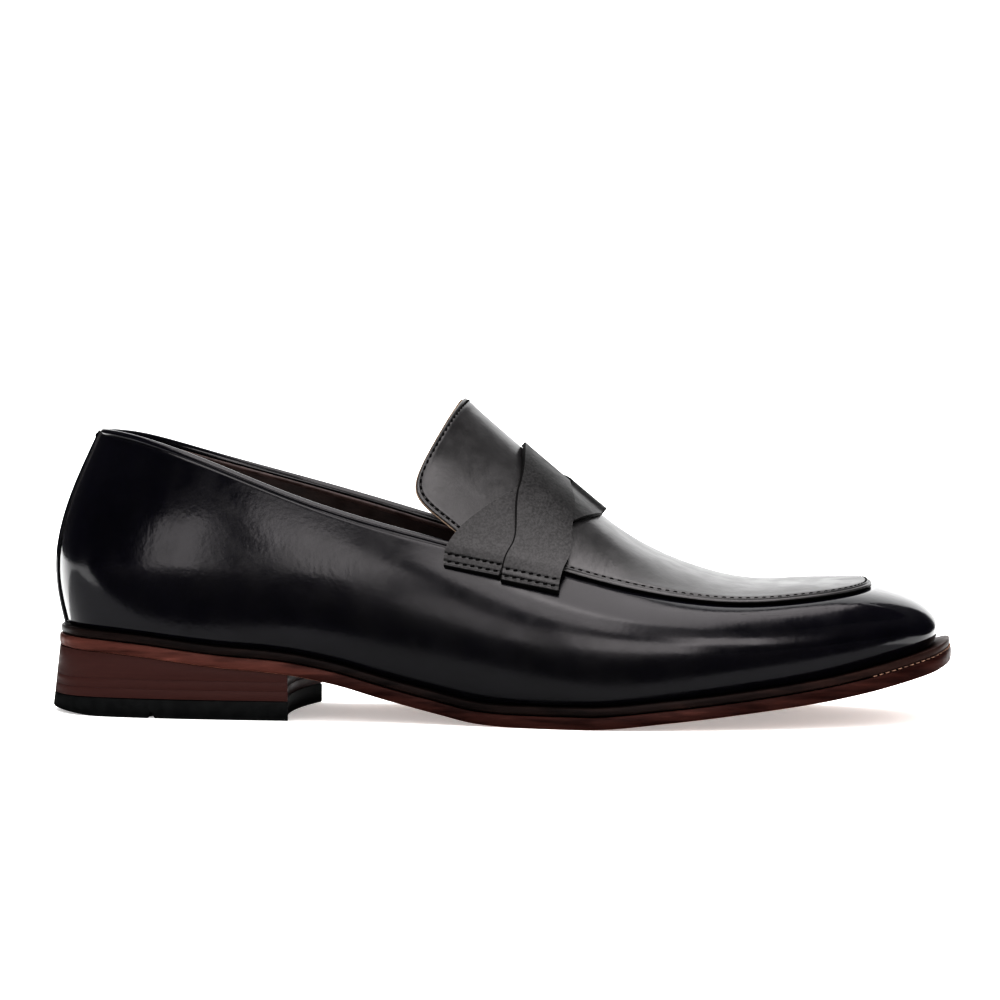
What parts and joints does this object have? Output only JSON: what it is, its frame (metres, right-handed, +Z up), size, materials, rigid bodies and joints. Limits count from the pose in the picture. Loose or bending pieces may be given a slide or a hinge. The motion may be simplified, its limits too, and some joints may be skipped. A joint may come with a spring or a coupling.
{
  "type": "loafer",
  "caption": "Men's slip-on dress shoe for the right foot: apron front, raised tongue, two crossed bands over the instep, welted leather sole and stacked heel.",
  "frame": {"origin": "on the floor, under the middle of the shoe's box", "axes": "+X to the toe, +Y to the inner side of the foot, +Z up"},
  "size_m": [0.3046, 0.1052, 0.1068],
  "materials": {
    "polished_leather": "black smooth calf, polished and slightly burnished",
    "grained_leather": "black calf with a fine visible grain, satin",
    "lining_leather": "dark brown lining leather, matt",
    "sole_leather": "red-brown sole leather with a burnished edge",
    "welt_leather": "very dark brown welt",
    "heel_leather": "dark brown stacked heel leather, fine horizontal layers",
    "heel_rubber": "black rubber, matt",
    "fibre_board": "pressed leather fibre board",
    "cork": "cork filler",
    "foam": "soft foam pad",
    "steel": "plain steel"
  },
  "bodies": {
    "root": {"skirt": "polished_leather", "backstay": "polished_leather", "topline_binding": "polished_leather", "apron_tongue": "grained_leather", "band_front": "grained_leather", "band_rear": "grained_leather", "quarter_lining": "lining_leather", "vamp_lining": "lining_leather", "tongue_lining": "lining_leather", "sock_liner": "lining_leather", "outsole": "sole_leather", "welt": "welt_leather", "heel_lift_1": "heel_leather", "heel_lift_2": "heel_leather", "heel_seat_wedge": "heel_leather", "top_lift": "heel_rubber", "insole_board": "fibre_board", "heel_counter": "fibre_board", "toe_puff": "fibre_board", "cork_filler": "cork", "heel_pad": "foam", "shank": "steel", "heel_nail_1": "steel", "heel_nail_2": "steel", "heel_nail_3": "steel", "heel_nail_4": "steel", "heel_nail_5": "steel"}
  },
  "joints": []
}
